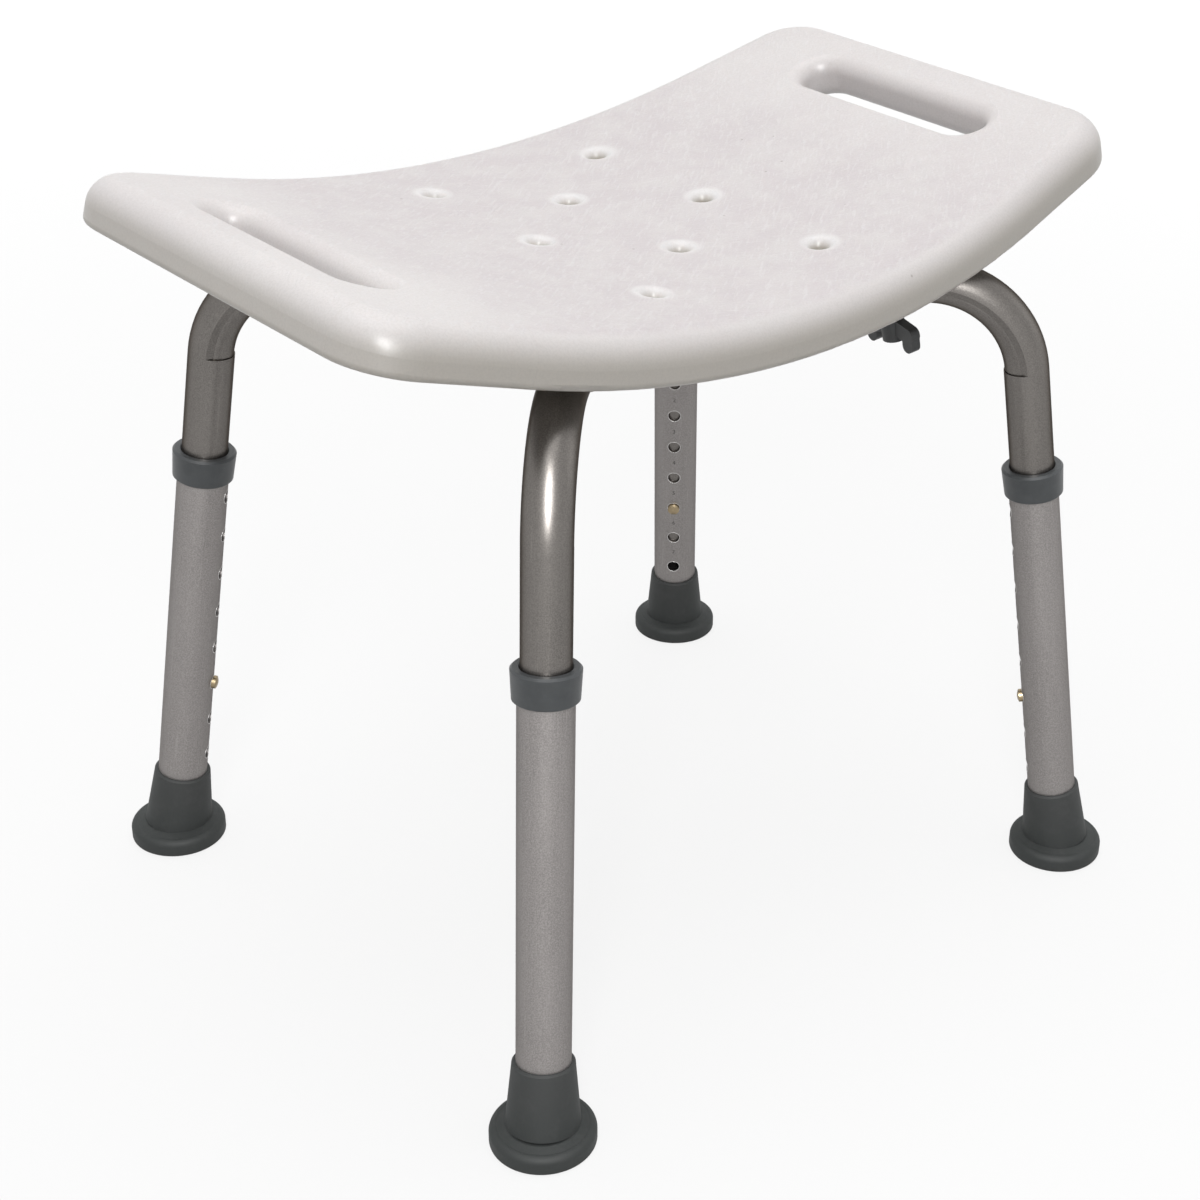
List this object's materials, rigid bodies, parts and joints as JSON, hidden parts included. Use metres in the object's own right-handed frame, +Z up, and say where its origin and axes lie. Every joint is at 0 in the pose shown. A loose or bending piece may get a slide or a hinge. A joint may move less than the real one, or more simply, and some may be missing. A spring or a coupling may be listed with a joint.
{
  "type": "shower stool",
  "caption": "Height-adjustable shower stool with a dished moulded seat, handle slots, drain holes and splayed telescopic tube legs on rubber feet",
  "frame": {"origin": "on the floor, under the middle of the seat", "axes": "+X along the seat from left to right, +Y from front to back, +Z up"},
  "size_m": [0.5082, 0.4168, 0.4451],
  "materials": {
    "seat_plastic": "fine orange-peel moulding texture",
    "tube": "satin anodised",
    "grey_plastic": "satin moulded",
    "dark_plastic": "satin moulded",
    "rubber": "matt moulded",
    "brass": "satin",
    "steel": "zinc plated"
  },
  "bodies": {
    "frame": {"seat": "seat_plastic", "upper_leg_fl": "tube", "end_plug_fl": "dark_plastic", "insert_fl": "brass", "wing_washer_fl": "steel", "snap_spring_fl": "steel", "upper_leg_fr": "tube", "end_plug_fr": "dark_plastic", "insert_fr": "brass", "wing_washer_fr": "steel", "snap_spring_fr": "steel", "upper_leg_br": "tube", "end_plug_br": "dark_plastic", "insert_br": "brass", "wing_washer_br": "steel", "snap_spring_br": "steel", "upper_leg_bl": "tube", "end_plug_bl": "dark_plastic", "insert_bl": "brass", "wing_washer_bl": "steel", "snap_spring_bl": "steel"},
    "leg_fl": {"lower_leg_fl": "tube", "collar_fl": "grey_plastic", "foot_washer_fl": "steel", "foot_fl": "rubber"},
    "button_fl": {"snap_button_fl": "brass"},
    "wing_fl": {"wing_stud_fl": "steel", "wing_knob_fl": "dark_plastic"},
    "leg_fr": {"lower_leg_fr": "tube", "collar_fr": "grey_plastic", "foot_washer_fr": "steel", "foot_fr": "rubber"},
    "button_fr": {"snap_button_fr": "brass"},
    "wing_fr": {"wing_stud_fr": "steel", "wing_knob_fr": "dark_plastic"},
    "leg_br": {"lower_leg_br": "tube", "collar_br": "grey_plastic", "foot_washer_br": "steel", "foot_br": "rubber"},
    "button_br": {"snap_button_br": "brass"},
    "wing_br": {"wing_stud_br": "steel", "wing_knob_br": "dark_plastic"},
    "leg_bl": {"lower_leg_bl": "tube", "collar_bl": "grey_plastic", "foot_washer_bl": "steel", "foot_bl": "rubber"},
    "button_bl": {"snap_button_bl": "brass"},
    "wing_bl": {"wing_stud_bl": "steel", "wing_knob_bl": "dark_plastic"}
  },
  "joints": [
    {"name": "leg_fl_slide", "type": "slide", "parent": "frame", "child": "leg_fl", "axis": [-0.1021, -0.1021, -0.9895], "range_m": [-0.05, 0.1]},
    {"name": "button_fl_press", "type": "slide", "parent": "frame", "child": "button_fl", "axis": [0.6997, 0.6997, -0.1444], "range_m": [-0.0043, 0], "stiffness_N_per_m": 2000, "springref_m": 0.002, "deforming": ["snap_spring_fl"]},
    {"name": "wing_fl_turn", "type": "hinge", "parent": "frame", "child": "wing_fl", "pos_m": [-0.11402, -0.09302, 0.35415], "axis": [0.1021, 0.1021, 0.9895], "continuous": true},
    {"name": "leg_fr_slide", "type": "slide", "parent": "frame", "child": "leg_fr", "axis": [0.1021, -0.1021, -0.9895], "range_m": [-0.05, 0.1]},
    {"name": "button_fr_press", "type": "slide", "parent": "frame", "child": "button_fr", "axis": [-0.6997, 0.6997, -0.1444], "range_m": [-0.0043, 0], "stiffness_N_per_m": 2000, "springref_m": 0.002, "deforming": ["snap_spring_fr"]},
    {"name": "wing_fr_turn", "type": "hinge", "parent": "frame", "child": "wing_fr", "pos_m": [0.11402, -0.09302, 0.35415], "axis": [-0.1021, 0.1021, 0.9895], "continuous": true},
    {"name": "leg_br_slide", "type": "slide", "parent": "frame", "child": "leg_br", "axis": [0.1021, 0.1021, -0.9895], "range_m": [-0.05, 0.1]},
    {"name": "button_br_press", "type": "slide", "parent": "frame", "child": "button_br", "axis": [-0.6997, -0.6997, -0.1444], "range_m": [-0.0043, 0], "stiffness_N_per_m": 2000, "springref_m": 0.002, "deforming": ["snap_spring_br"]},
    {"name": "wing_br_turn", "type": "hinge", "parent": "frame", "child": "wing_br", "pos_m": [0.11402, 0.09302, 0.35415], "axis": [-0.1021, -0.1021, 0.9895], "continuous": true},
    {"name": "leg_bl_slide", "type": "slide", "parent": "frame", "child": "leg_bl", "axis": [-0.1021, 0.1021, -0.9895], "range_m": [-0.05, 0.1]},
    {"name": "button_bl_press", "type": "slide", "parent": "frame", "child": "button_bl", "axis": [0.6997, -0.6997, -0.1444], "range_m": [-0.0043, 0], "stiffness_N_per_m": 2000, "springref_m": 0.002, "deforming": ["snap_spring_bl"]},
    {"name": "wing_bl_turn", "type": "hinge", "parent": "frame", "child": "wing_bl", "pos_m": [-0.11402, 0.09302, 0.35415], "axis": [0.1021, -0.1021, 0.9895], "continuous": true}
  ]
}
